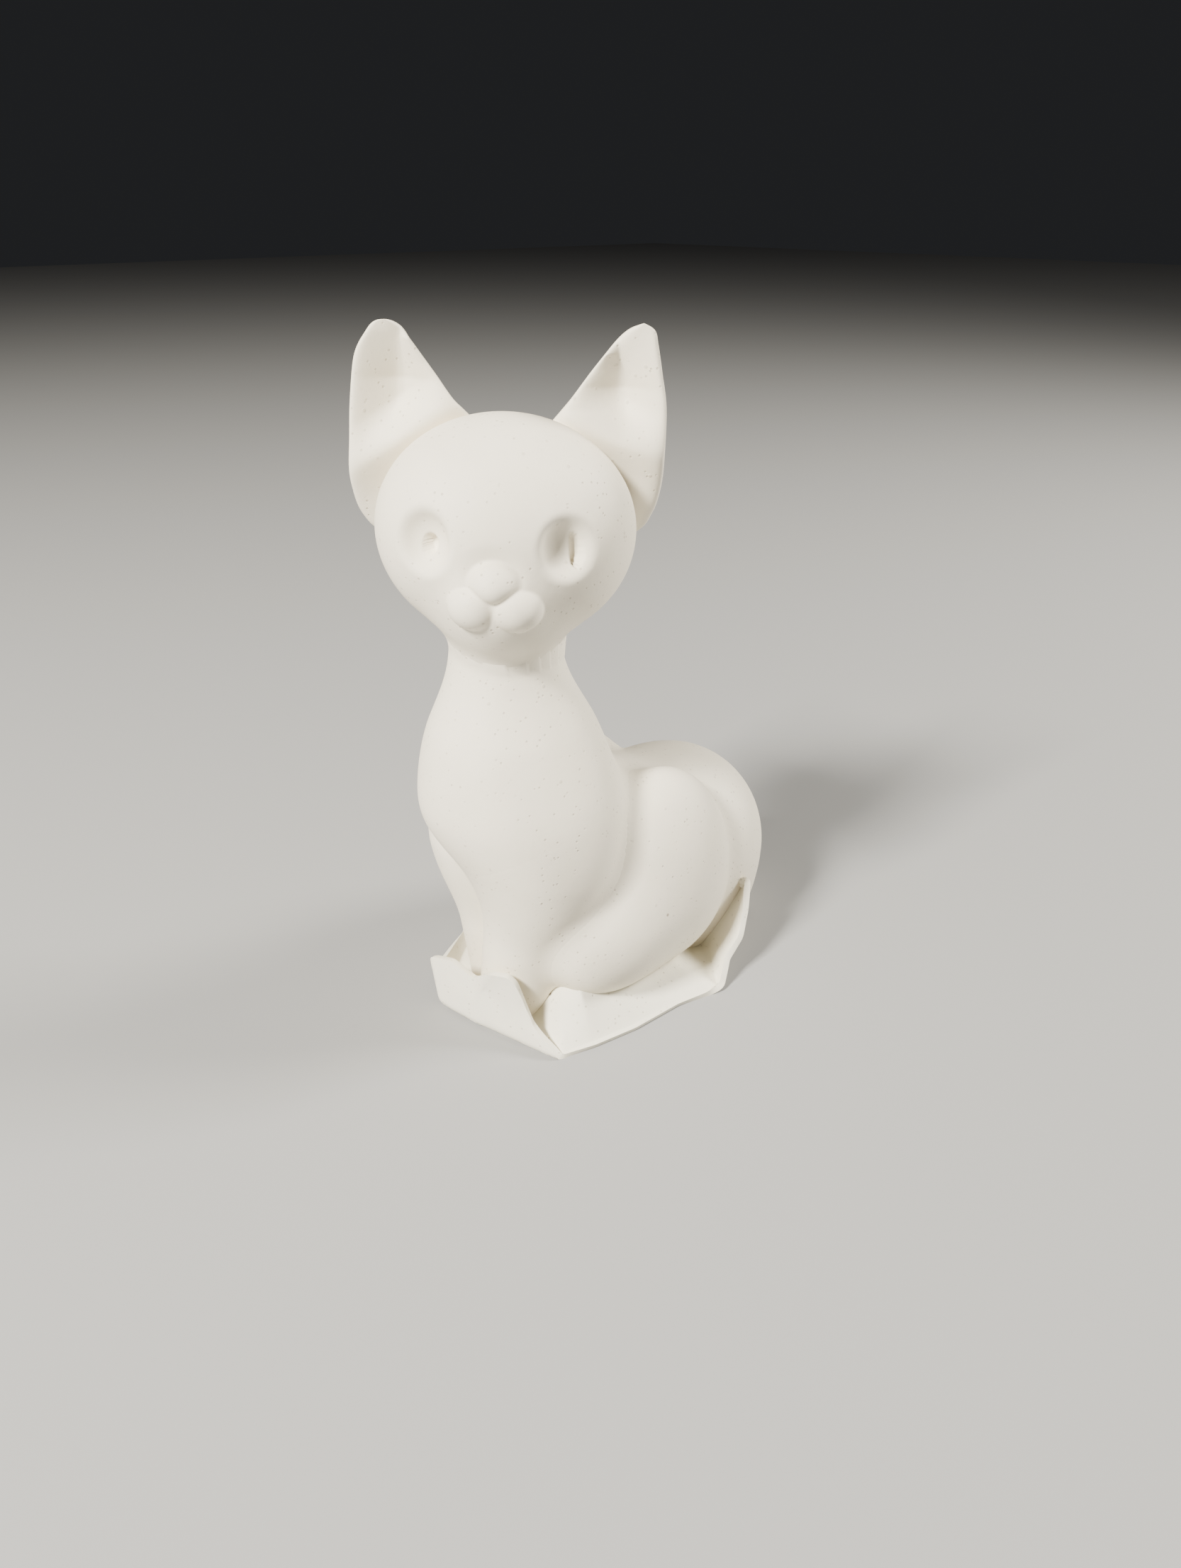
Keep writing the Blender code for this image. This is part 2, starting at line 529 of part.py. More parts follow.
def make_cat():
    middle = np.array((0, LOIN_FRONT_Y, LOIN_FRONT_Z))
    face = (math.sin(HEAD_TURN), -math.cos(HEAD_TURN), -math.tan(MUZZLE_DROP / HEAD_HALF_DEPTH))
    head, head_seat = piece_and_seat("head", (0, HEAD_Y, HEAD_Z), rays_round(face, 28, 34, 1.3), even=False)
    body, body_seat = piece_and_seat("body", middle, rays_round((0, 0, 1), 28, 36))
    pieces = []
    for name, side in (("left_haunch", 1), ("right_haunch", -1)):
        thigh = (side * HIP_X, (HIP_Y + KNEE_Y) / 2, HIP_Z)
        pieces.append(piece_and_seat(name, thigh, rays_round((side, 0, 0), 14, 24)))
    for name, side, paw_x, paw_y in (("left_foreleg", 1, LEFT_PAW_X, LEFT_PAW_Y),
                                     ("right_foreleg", -1, RIGHT_PAW_X, RIGHT_PAW_Y)):
        shin = np.array((side * ELBOW_X + paw_x, ELBOW_Y + paw_y, ELBOW_Z + PAW_Z)) / 2
        pieces.append(piece_and_seat(name, shin, rays_round((0, 0, 1), 15, 18)))
    for name, side in (("left_hind_foot", 1), ("right_hind_foot", -1)):
        sole = (side * HIND_FOOT_X, HIND_FOOT_Y, 0)
        pieces.append(piece_and_seat(name, sole, rays_round((0, 0, 1), 10, 16)))
    tail = make_tail()
    pieces.append((tail, grown(tail, SEAM)))
    skirt = make_skirt()
    ears = [make_ear("left_ear", 1, EAR_REACH, EAR_HEIGHT, EAR_TIP),
            make_ear("right_ear", -1, RIGHT_EAR_REACH, RIGHT_EAR_HEIGHT, RIGHT_EAR_TIP)]

    ground = hide(box("ground", (-0.2, -0.2, -0.2), (0.2, 0.2, 0.0)))
    for ear in ears:
        cut(ear, head_seat)
    cut(body, head_seat, ground, *body_cutters(middle))
    seats = [body_seat]
    for piece, seat in pieces:
        cut(piece, ground, *seats)
        seats.append(seat)
    cut(skirt, *seats)
    for piece in [head, body, skirt] + ears + [piece for piece, seat in pieces]:
        piece.data.materials.append(fired_clay(piece.name))


clear_scene()
make_cat()
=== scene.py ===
"""Looks of the ceramic cat figurine: matte cream bisque, cast hollow, with a thin skirt at its foot."""
import math

import bpy
import numpy as np
from mathutils import Matrix, Vector


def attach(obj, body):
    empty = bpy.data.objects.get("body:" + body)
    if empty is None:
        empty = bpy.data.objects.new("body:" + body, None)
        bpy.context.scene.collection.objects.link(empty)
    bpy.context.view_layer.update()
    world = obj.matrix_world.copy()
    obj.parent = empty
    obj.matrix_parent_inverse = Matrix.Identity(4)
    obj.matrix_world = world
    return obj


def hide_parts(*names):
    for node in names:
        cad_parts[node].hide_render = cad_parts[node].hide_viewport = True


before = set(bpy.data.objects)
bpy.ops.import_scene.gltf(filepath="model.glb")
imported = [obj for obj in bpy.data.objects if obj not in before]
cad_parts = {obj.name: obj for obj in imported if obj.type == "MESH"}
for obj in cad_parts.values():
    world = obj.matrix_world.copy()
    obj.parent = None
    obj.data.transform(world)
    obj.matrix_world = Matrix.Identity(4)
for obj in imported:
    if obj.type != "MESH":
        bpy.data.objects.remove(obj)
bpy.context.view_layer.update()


# Body: the hollow casting of neck, chest, loin and rump, in fine bisque fired without a glaze.
# The forms luted to it were smoothed over with slip while damp, so all of them are described
# together as one blended shape, in millimetres, and each piece below shows its own share of it.


def soft_union(a, b, width):
    """The lesser of two distances, rounded off where they differ by less than the width."""
    near = np.maximum(width - np.abs(a - b), 0) / width
    return np.minimum(a, b) - near * near * width / 4


def soft_cut(form, tool, width):
    """The form with the tool's shape taken out of it, its rim rounded in the same way."""
    return -soft_union(-form, tool, width)


def egg(p, centre, radii, drop=None, turn=0.0):
    """Distance to an egg, turned about the vertical: its scaled radius over its gradient. Its
    half height is the third radius above its middle and the drop below it."""
    x, y, z = p[0] - centre[0], p[1] - centre[1], p[2] - centre[2]
    if turn:
        x, y = x * math.cos(turn) + y * math.sin(turn), y * math.cos(turn) - x * math.sin(turn)
    high = radii[2] if drop is None else np.where(z < 0, drop, radii[2])
    x, y, z = x / radii[0], y / radii[1], z / high
    scaled = np.sqrt(x * x + y * y + z * z)
    x, y, z = x / radii[0], y / radii[1], z / high
    return scaled * (scaled - 1) / np.maximum(np.sqrt(x * x + y * y + z * z), 1e-6)


def roll(p, start, end, first, last):
    """Distance to a round roll of clay whose radius changes evenly from its start to its end."""
    axis = [e - s for s, e in zip(start, end)]
    x, y, z = p[0] - start[0], p[1] - start[1], p[2] - start[2]
    along = (x * axis[0] + y * axis[1] + z * axis[2]) / sum(a * a for a in axis)
    along = np.clip(along, 0, 1)
    x, y, z = x - along * axis[0], y - along * axis[1], z - along * axis[2]
    return np.sqrt(x * x + y * y + z * z) - (first + (last - first) * along)


HEAD_PLACE = (0.0, -20.6, 104.0)
HEAD_TURN = math.radians(44.5)
HEAD_ROLL = math.radians(2.0)


def in_head(p):
    """Points in the head's own frame: x to the cat's left, -y out of the face, z up."""
    x, y, z = (p[i] - HEAD_PLACE[i] for i in range(3))
    side = x * math.cos(HEAD_TURN) + y * math.sin(HEAD_TURN)
    depth = y * math.cos(HEAD_TURN) - x * math.sin(HEAD_TURN)
    across = side * math.cos(HEAD_ROLL) - z * math.sin(HEAD_ROLL)
    return np.stack([across, depth, z * math.cos(HEAD_ROLL) + side * math.sin(HEAD_ROLL)])


# The eggs of the head, in its own frame: middle, radii and, where it differs, the drop.
SKULL = ((-0.4, 0, 0.3), (24.2, 20.5, 20.6), 21.3)
JAW = ((0, -5.8, -10), (12.5, 13.2, 13.2))
MUZZLE = ((0, -13.0, -7.4), (9.0, 8.2, 9.4))
EYE_BOWL = ((14.0, -19.7, 1.8), (6.2, 5.9, 6.6))
EYE_SLIT = ((13.7, -14.1, 0.6), (0.9, 1.6, 3.0))
EYE_SLIT_TURN = 0.66
EYE_SLIT_BOW = 0.08
EYE_SLIT_WAIST = 0.4
EYE_PIT = ((-11.6, -14.2, 0.6), (1.3, 1.6, 1.7))
NOSE_HOLLOW = ((0, -22.7, -2.4), (6.8, 2.8, 4.8))
NOSE = ((0, -18.8, -4.4), (4.9, 3.6, 4.2), 2.4)
NOSE_TIP = ((0, -20.0, -5.4), (2.6, 2.6, 2.3))
LIP = ((3.6, -17.8, -8.9), (5.0, 4.7, 4.6))
FACE_ROUNDING = {
    "jaw": 4.0, "muzzle": 3.0, "eye bowl": 1.4, "eye slit": 0.4, "eye pit": 0.6,
    "nose hollow": 1.6, "nose tip": 2.4, "lip": 0.3, "nose": 0.6,
}


def head_form(p):
    """Distance to the head: an egg joined with jaw and muzzle, less two eye bowls, a bowed slit in
    the left eye, a pit in the right one and a hollow over the nose, then joined with lips and nose."""
    q = in_head(p)
    half = np.stack([np.abs(q[0]), q[1], q[2]])
    bowed = np.stack([q[0] + EYE_SLIT_BOW * (q[2] - EYE_SLIT_WAIST) ** 2, q[1], q[2]])
    form = soft_union(egg(q, *SKULL), egg(q, *JAW), FACE_ROUNDING["jaw"])
    form = soft_union(form, egg(q, *MUZZLE), FACE_ROUNDING["muzzle"])
    form = soft_cut(form, egg(half, *EYE_BOWL), FACE_ROUNDING["eye bowl"])
    form = soft_cut(form, egg(bowed, *EYE_SLIT, turn=EYE_SLIT_TURN), FACE_ROUNDING["eye slit"])
    form = soft_cut(form, egg(q, *EYE_PIT), FACE_ROUNDING["eye pit"])
    form = soft_cut(form, egg(q, *NOSE_HOLLOW), FACE_ROUNDING["nose hollow"])
    nose = soft_union(egg(q, *NOSE), egg(q, *NOSE_TIP), FACE_ROUNDING["nose tip"])
    form = soft_union(form, egg(half, *LIP), FACE_ROUNDING["lip"])
    return soft_union(form, nose, FACE_ROUNDING["nose"])


# Eggs as above, and rolls: start, end and the radius at each. What comes in pairs is the left one.
NECK = ((0, -22.2, 96), (0, -22.2, 66), 9.9, 12.0)
CHEST = ((0, -20.6, 50.5), (20.0, 20.3, 23.0), 17.0)
LOIN = ((0, -12, 40), (0, 24, 22), 14.5, 20.2)
RUMP = ((0, 23.4, 20), (22.0, 25.2, 25.0), 33.0)
BELLY = ((0, 1, 0), (13.0, 13.0, 22.0))
SHOULDER = ((8.5, -19, 40), (13.5, 14.5, 19))
ELBOW = (7.5, -20.5, 36)
ELBOW_RADIUS = 11.5
PAWS = {"left": ((4.8, -26.0, 4), 8.0), "right": ((-6.6, -21.5, 4), 7.0)}
HIP = ((14.1, 5.5, 22), (13.0, 21.0, 28.5), 19.0)
KNEE = ((16.0, -12, 16.0), (9.5, 12.5, 13.0), 11.0)
HIND_FOOT = ((16.0, -4, 0), (7.0, 13.0, 7.5))
HIND_FOOT_TURN = 0.17
FORM_ROUNDING = {"chest": 11, "loin": 9, "belly": 5.0, "shank": 8, "knee": 10}


def on_side(form, side):
    """The same egg on the cat's left, for 1, or on its right, for -1."""
    (x, y, z), *sizes = form
    return ((x * side, y, z), *sizes)


def cat_forms(p):
    """Distances to each luted form, by the name of its piece."""
    front = soft_union(roll(p, *NECK), egg(p, *CHEST), FORM_ROUNDING["chest"])
    forms = {
        "front": soft_union(front, roll(p, *LOIN), FORM_ROUNDING["loin"]),
        "rump": soft_union(egg(p, *RUMP), egg(p, *BELLY), FORM_ROUNDING["belly"]),
        "head": head_form(p),
    }
    for name, side in (("left", 1), ("right", -1)):
        paw, paw_radius = PAWS[name]
        shoulder = egg(p, *on_side(SHOULDER, side))
        shank = roll(p, (ELBOW[0] * side, ELBOW[1], ELBOW[2]), paw, ELBOW_RADIUS, paw_radius)
        hip = egg(p, *on_side(HIP, side))
        knee = egg(p, *on_side(KNEE, side))
        foot = egg(p, *on_side(HIND_FOOT, side), turn=-HIND_FOOT_TURN * side)
        forms[name + "_foreleg"] = soft_union(shoulder, shank, FORM_ROUNDING["shank"])
        forms[name + "_haunch"] = soft_union(hip, knee, FORM_ROUNDING["knee"])
        forms[name + "_hind_foot"] = foot
    return forms


JOINT_ROUNDING = {
    "left foreleg": 9.0, "right foreleg": 0.6, "both haunches": 1.0, "haunches on rump": 0.6,
    "fore and rear": 4.2, "both feet": 0.5, "feet": 1.2, "head": 3.5,
}


def whole_cat(p, forms):
    """Distance to the luted cat on its flat base: each joint is rounded as far as it was smoothed."""
    fore = soft_union(forms["front"], forms["left_foreleg"], JOINT_ROUNDING["left foreleg"])
    fore = soft_union(fore, forms["right_foreleg"], JOINT_ROUNDING["right foreleg"])
    haunches = soft_union(forms["left_haunch"], forms["right_haunch"], JOINT_ROUNDING["both haunches"])
    rear = soft_union(forms["rump"], haunches, JOINT_ROUNDING["haunches on rump"])
    cat = soft_union(fore, rear, JOINT_ROUNDING["fore and rear"])
    feet = soft_union(forms["left_hind_foot"], forms["right_hind_foot"], JOINT_ROUNDING["both feet"])
    cat = soft_union(cat, feet, JOINT_ROUNDING["feet"])
    cat = soft_union(cat, forms["head"], JOINT_ROUNDING["head"])
    return np.maximum(cat, -p[2])


SINK = 0.16
BODY_ROUNDING = 5.0


def share_of(name):
    """The whole cat, sunk by the square of the way past the seam where another form takes over."""
    def distance(p):
        forms = cat_forms(p)
        whole = whole_cat(p, forms)
        forms["body"] = soft_union(forms.pop("front"), forms.pop("rump"), BODY_ROUNDING)
        mine = forms.pop(name)
        past = np.maximum(mine - np.minimum.reduce(list(forms.values())), 0)
        return whole + SINK * past * past
    return distance


RAY_STEPS = 64
RAY_START = 0.3
RAY_HALVINGS = 11


def ray_shell(distance, centre, pole, reach, rows, columns, crowd=1.0):
    """Closed surface over the angle from the pole and the angle round it: the outermost point on
    each ray from the centre where the distance changes sign, by even steps and then by halving.
    A crowd over 1 draws the rows closer together towards the pole."""
    pole = np.array(pole, float) / np.linalg.norm(pole)
    side = np.cross(pole, (0.0, 0.0, 1.0) if abs(pole[2]) < 0.9 else (1.0, 0.0, 0.0))
    side /= np.linalg.norm(side)
    other = np.cross(pole, side)
    tilt = math.pi * np.linspace(0, 1, rows)[:, None] ** crowd
    angle = np.linspace(0, 2 * math.pi, columns, endpoint=False)[None, :]
    rays = (np.cos(tilt)[..., None] * pole + (np.sin(tilt) * np.cos(angle))[..., None] * side
            + (np.sin(tilt) * np.sin(angle))[..., None] * other)
    rays = np.moveaxis(rays, -1, 0).reshape(3, -1).astype(np.float32)
    centre = np.array(centre, np.float32)[:, None]
    steps = np.linspace(reach, RAY_START, RAY_STEPS)
    outer = np.full(rays.shape[1], steps[-2], np.float32)
    inner = np.full(rays.shape[1], steps[-1], np.float32)
    waiting = np.arange(rays.shape[1])
    for far, near in zip(steps[:-1], steps[1:]):
        inside = distance(centre + near * rays[:, waiting]) < 0
        outer[waiting[inside]] = far
        inner[waiting[inside]] = near
        waiting = waiting[~inside]
        if not waiting.size:
            break
    for _ in range(RAY_HALVINGS):
        middle = (inner + outer) / 2
        inside = distance(centre + middle * rays) < 0
        inner = np.where(inside, middle, inner)
        outer = np.where(inside, outer, middle)
    return np.moveaxis((centre + outer * rays).reshape(3, rows, columns), 0, -1)


MILLIMETRE = 0.001


def make_piece(name, grid, material):
    """A closed mesh over a grid of rows of points whose first and last rows are single points."""
    rows, columns = grid.shape[:2]
    points = np.concatenate([grid[:1, 0], grid[1:-1].reshape(-1, 3), grid[-1:, 0]]) * MILLIMETRE
    place = 1 + np.arange((rows - 2) * columns).reshape(rows - 2, columns)
    after = np.roll(place, -1, axis=1)
    quads = np.stack([place[:-1], place[1:], after[1:], after[:-1]], -1).reshape(-1, 4)
    last = len(points) - 1
    first_fan = np.stack([np.zeros(columns, int), place[0], after[0]], -1)
    last_fan = np.stack([np.full(columns, last), after[-1], place[-1]], -1)
    mesh = bpy.data.meshes.new(name)
    mesh.from_pydata(points.tolist(), [], quads.tolist() + first_fan.tolist() + last_fan.tolist())
    mesh.polygons.foreach_set("use_smooth", np.ones(len(mesh.polygons), bool))
    mesh.materials.append(material)
    mesh.update()
    piece = bpy.data.objects.new(name, mesh)
    bpy.context.scene.collection.objects.link(piece)
    return piece


class Shade:
    """A socket of a material's node tree. Arithmetic on it adds Math nodes."""

    def __init__(self, tree, socket):
        self.tree = tree
        self.socket = socket

    def node(self, kind, sockets=(), output=0, **settings):
        """Adds a node of a type, with its settings, then the values or links of its sockets."""
        made = self.tree.nodes.new(kind)
        for key, value in settings.items():
            setattr(made, key, value)
        for key, value in dict(sockets).items():
            if isinstance(value, Shade):
                self.tree.links.new(value.socket, made.inputs[key])
            else:
                made.inputs[key].default_value = value
        return Shade(self.tree, made.outputs[output] if made.outputs else None)

    def maths(self, operation, first, second):
        """A Math node's result on two values or links."""
        return self.node("ShaderNodeMath", {0: first, 1: second}, operation=operation)

    def __add__(self, other):
        return self.maths("ADD", self, other)

    def __radd__(self, other):
        return self.maths("ADD", other, self)

    def __sub__(self, other):
        return self.maths("SUBTRACT", self, other)

    def __rsub__(self, other):
        return self.maths("SUBTRACT", other, self)

    def __mul__(self, other):
        return self.maths("MULTIPLY", self, other)

    def __rmul__(self, other):
        return self.maths("MULTIPLY", other, self)

    def step(self, low, high):
        """0 below the low value and 1 above the high one, eased between them."""
        return self.node("ShaderNodeMapRange", {"Value": self, "From Min": low, "From Max": high},
                         interpolation_type="SMOOTHSTEP")

    def tint(self, colour, other):
        """The colour where this is 0 and the other where it is 1."""
        return self.node("ShaderNodeMix", {0: self, 6: colour, 7: other}, output=2, data_type="RGBA")


# The brown of the painted shade in the pinholes and burst bubbles.
PIT_SHADE_BROWN = (0.42, 0.37, 0.29, 1.0)
SPECK_BROWN = (0.2, 0.15, 0.1, 1.0)
RELIEF_HEIGHT = 0.0001


def bisque(name, cream, shade):
    """Unglazed casting body: cream, clouded at two scales, with pinholes, burst bubbles and specks.
    The pinholes and burst bubbles are darkened towards brown, as painted shade in their pits.
    """
    material = bpy.data.materials.new(name)
    material.use_nodes = True
    tree = material.node_tree
    tree.nodes.clear()
    start = Shade(tree, None)
    place = start.node("ShaderNodeTexCoord", output="Object")

    def cloud(scale, detail=2.0):
        """Noise of so many clouds to the metre."""
        return start.node("ShaderNodeTexNoise",
                          {"Vector": place, "Scale": scale, "Detail": detail, "Roughness": 0.55})

    def dots(scale, size, share):
        """Round dots: cells near their own centre, in the share of cells drawn by their colour."""
        inputs = {"Vector": place, "Scale": scale}
        near = start.node("ShaderNodeTexVoronoi", inputs, output="Distance")
        drawn = start.node("ShaderNodeTexVoronoi", inputs, output="Color")
        drawn = start.node("ShaderNodeSeparateColor", {0: drawn})
        return (1 - near.step(size * 0.4, size)) * (1 - drawn.step(share, share + 0.01))

    clouding = cloud(scale=55.0).step(0.35, 0.68)
    fine = cloud(scale=420.0).step(0.3, 0.7)
    thick = cloud(scale=90.0, detail=1.0).step(0.36, 0.56)
    holes = dots(scale=820.0, size=0.24, share=0.5) * thick
    bubbles = dots(scale=430.0, size=0.2, share=0.16)
    specks = dots(scale=150.0, size=0.07, share=0.05)
    colour = (clouding * 0.75 + fine * 0.25).tint((*cream, 1.0), (*shade, 1.0))
    # Painted shade: pinholes and burst bubbles are darkened towards brown for the shade inside their
    # pits.
    colour = (holes * 0.5 + bubbles * 0.3).tint(colour, PIT_SHADE_BROWN)
    colour = (specks * 0.7).tint(colour, SPECK_BROWN)
    grain = cloud(scale=1500.0, detail=3.0)
    height = grain * 0.25 + fine * 0.2 - holes * 1.2 + bubbles * 0.8
    bumped = start.node("ShaderNodeBump",
                        {"Height": height, "Strength": 0.6, "Distance": RELIEF_HEIGHT}, output="Normal")
    shader = start.node("ShaderNodeBsdfPrincipled", {
        "Base Color": colour, "Roughness": 0.56 + clouding * 0.1 + holes * 0.2, "Normal": bumped,
        "Specular IOR Level": 0.35})
    start.node("ShaderNodeOutputMaterial", {"Surface": shader})
    return material


def show(piece, node):
    """The piece rides on the one body and stands for its CAD node, which is hidden."""
    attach(piece, "root")
    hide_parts(node)


CREAM = (0.87, 0.81, 0.68)
CREAM_SHADE = (0.83, 0.77, 0.64)
ALONG_NECK = (0, -8.2, 50)
clay = bisque("bisque", CREAM, CREAM_SHADE)
body_grid = ray_shell(share_of("body"), centre=(0, -14, 42), pole=ALONG_NECK, reach=78,
                      rows=300, columns=256, crowd=1.35)
body = make_piece("cat_body", body_grid, clay)
show(body, "body")


# Head: a cast egg of the same bisque with the face modelled in low relief, turned towards the
# cat's left. It is luted on the neck, and the joint is wiped smooth.

FACE_DIP = 0.28
FACE_OUT = (math.sin(HEAD_TURN), -math.cos(HEAD_TURN), -FACE_DIP)
head_grid = ray_shell(share_of("head"), centre=HEAD_PLACE, pole=FACE_OUT, reach=34,
                      rows=260, columns=288, crowd=1.45)
head = make_piece("cat_head", head_grid, clay)
show(head, "head")


# Ears: two tall leaves of the same clay, pressed thin, dished in front and luted behind the rim
# of the skull. Each is drawn in the head's frame between its inner and its outer edge, as the way
# out from the middle of the head and the height.

EAR_INNER = {
    "left_ear": ((4.5, 15.5), (8.9, 20.8), (11.0, 23.4), (14.4, 28.1), (18.1, 32.8), (20.6, 35.2),
                 (23.2, 36.4)),
    "right_ear": ((4.5, 14.5), (8.8, 19.8), (11.2, 22.4), (15.4, 27.8), (19.1, 33.0), (20.8, 34.6),
                  (22.4, 35.2)),
}
EAR_OUTER = {
    "left_ear": ((15.0, -5.0), (23.6, -2.1), (26.6, 2.0), (27.9, 7.3), (28.2, 13.4), (28.0, 22.0),
                 (26.9, 28.0), (25.9, 32.8), (25.2, 35.2), (23.2, 36.4)),
    "right_ear": ((15.0, -6.5), (25.4, -4.9), (29.6, -1.0), (30.8, 5.0), (30.4, 14.0), (29.8, 21.6),
                  (28.5, 29.0), (26.0, 33.2), (24.4, 34.8), (22.4, 35.2)),
}
EAR_DEPTH = 3.4
EAR_THICK = 3.4
EAR_RIM_POWER = 6
EAR_TIP_ROWS = 8
VALLEY_OUT = 20.2
VALLEY_LEAN = 0.07
VALLEY_HEIGHT = 17
VALLEY_SHIFT = {"left_ear": 0, "right_ear": 1.2}
VALLEY_ROUND = 0.02
DISH_DEPTH = 5.0
DISH_REACH = 1.15
DISH_LEAST_HALF = 2.0
DISH_RIM_HEIGHTS = (-8, 0, 8, 15, 21, 28, 36)
DISH_RIM_INNER = (23, 24, 22.4, 17.2, 9.5, 14.4, 22)
DISH_OPENS_OVER = 9
DISH_OPEN_AT_EDGE = 0.1
DISH_TOP = 37
DISH_CLOSES_OVER = 12
LOBE_EDGE = {"left_ear": 15.4, "right_ear": 14.4}
LOBE_LEAN = {"left_ear": 0.27, "right_ear": 0.62}
LOBE_OUT = 20.8
LOBE_DEPTH = 6.5
LOBE_SLOPE = 0.62
LOBE_ROUND = 6


def even_curve(points, parts, fineness=24):
    """Points spaced evenly by length along a smooth curve through the given ones (Catmull-Rom)."""
    points = np.array(points, float)
    padded = np.concatenate([2 * points[:1] - points[1:2], points, 2 * points[-1:] - points[-2:-1]])
    t = np.linspace(0, 1, fineness, endpoint=False)[None, :, None]
    a, b, c, d = (padded[i:len(padded) - 3 + i, None, :] for i in range(4))
    bend = 2 * a - 5 * b + 4 * c - d
    twist = 3 * b - a - 3 * c + d
    fine = (2 * b + (c - a) * t + bend * t ** 2 + twist * t ** 3) / 2
    fine = np.concatenate([fine.reshape(-1, points.shape[1]), points[-1:]])
    length = np.concatenate([[0], np.cumsum(np.linalg.norm(np.diff(fine, axis=0), axis=1))])
    wanted = np.linspace(0, length[-1], parts)
    return np.stack([np.interp(wanted, length, fine[:, k]) for k in range(points.shape[1])], -1)


def from_head(q):
    """Points of the head's frame in the cat's frame: the reverse of in_head."""
    side = q[..., 0] * math.cos(HEAD_ROLL) + q[..., 2] * math.sin(HEAD_ROLL)
    up = q[..., 2] * math.cos(HEAD_ROLL) - q[..., 0] * math.sin(HEAD_ROLL)
    x = side * math.cos(HEAD_TURN) - q[..., 1] * math.sin(HEAD_TURN)
    y = side * math.sin(HEAD_TURN) + q[..., 1] * math.cos(HEAD_TURN)
    return np.stack([x, y, up], -1) + HEAD_PLACE


def ear_grid(name, side, rows=110, columns=128):
    """Ear over the way up it and the way round its section. The chord between the two edges is set
    back by a dish, deepest along an upright valley and closed below by a lobe that turns away, and
    the wall behind it is a slab with rounded rims."""
    inner = even_curve(EAR_INNER[name], rows)[:, None, :]
    outer = even_curve(EAR_OUTER[name], rows)[:, None, :]
    angle = np.linspace(0, 2 * math.pi, columns, endpoint=False)[None, :]
    share = (1 - np.cos(angle)) / 2
    flat = inner + (outer - inner) * share[..., None]
    across, high = flat[..., 0], flat[..., 1]
    up = np.linspace(0, 1, rows)[:, None]
    valley = VALLEY_OUT - VALLEY_LEAN * (high - VALLEY_HEIGHT) + VALLEY_SHIFT[name]
    rim_in = np.interp(high, DISH_RIM_HEIGHTS, DISH_RIM_INNER)
    rim_out = np.interp(high, outer[:-EAR_TIP_ROWS, 0, 1], outer[:-EAR_TIP_ROWS, 0, 0])
    off = across - valley
    half_in = np.maximum(valley - rim_in, DISH_LEAST_HALF)
    half_out = np.maximum(rim_out - valley, DISH_LEAST_HALF)
    slope = np.sqrt((off / np.where(off < 0, half_in, half_out)) ** 2 + VALLEY_ROUND)
    above = high - (LOBE_EDGE[name] - LOBE_LEAN[name] * (across - LOBE_OUT))
    open_up = np.clip(above / DISH_OPENS_OVER + DISH_OPEN_AT_EDGE, 0, 1)
    open_up = open_up * open_up * (3 - 2 * open_up)
    below_top = np.clip((DISH_TOP - high) / DISH_CLOSES_OVER, 0, 1)
    dish = DISH_DEPTH * np.clip(DISH_REACH - slope, 0, 1) * open_up * below_top
    under = 0.5 * (np.sqrt(above * above + LOBE_ROUND) - above)
    lobe = LOBE_DEPTH * np.tanh(under * LOBE_SLOPE / LOBE_DEPTH)
    fade = np.sqrt(np.clip(1 - up ** EAR_RIM_POWER, 0, 1))
    rim = (1 - (1 - 2 * share) ** EAR_RIM_POWER) ** 0.5
    wall = 0.5 * EAR_THICK * (rim * np.where(np.sin(angle) > 0, -1, 1) + 1) * fade
    depth = EAR_DEPTH + dish + lobe + wall
    return from_head(np.stack([side * across, depth, high], -1)[:, ::side])


for name, side in (("left_ear", 1), ("right_ear", -1)):
    grid = ear_grid(name, side)
    grid[0] = grid[0].mean(axis=0)
    grid[-1] = grid[-1].mean(axis=0)
    show(make_piece("cat_" + name, grid, clay), name)


# Forelegs: shoulder, shank and paw rolled in one from the same clay and luted under the chest. The
# left one stands a little forward and runs up into the chest without a seam; the right one keeps a
# crisp crease.

FORELEG_MIDDLE = {"left_foreleg": (6.5, -22.0, 22.0), "right_foreleg": (-7.0, -21.0, 22.0)}
for name, middle in FORELEG_MIDDLE.items():
    grid = ray_shell(share_of(name), centre=middle, pole=(0, 0, 1), reach=42, rows=150, columns=144)
    show(make_piece("cat_" + name, grid, clay), name)


# Haunches: the two domed thighs with the knee drawn forward, of the same bisque. They are pressed
# on the flanks, run softly into the loin and keep a crease against the rump.

for name, side in (("left_haunch", 1), ("right_haunch", -1)):
    grid = ray_shell(share_of(name), centre=(15.0 * side, 1.0, 20.0), pole=(side, 0, 0), reach=44,
                     rows=160, columns=192)
    show(make_piece("cat_" + name, grid, clay), name)


# Hind feet: long low pads of the same bisque that show beneath the haunches. Each is luted under
# its thigh and flat below, level with the base.

for name, side in (("left_hind_foot", 1), ("right_hind_foot", -1)):
    grid = ray_shell(share_of(name), centre=(16.0 * side, -4.0, 1.5), pole=(0, 0, 1), reach=30,
                     rows=90, columns=128)
    show(make_piece("cat_" + name, grid, clay), name)


# Tail: a tapered roll of the same clay, laid from the rump along the right side of the base, which
# the photograph doesn't show. It is luted to the rump where it starts.

TAIL_LINE = ((0, 46, 6.9), (-12.5, 46, 6.9), (-25.2, 36, 6.9), (-31.5, 12, 6.6), (-30.5, -5, 5.4))
TAIL_RADIUS = (5.0, 3.2)
TAIL_END_POWER = 24


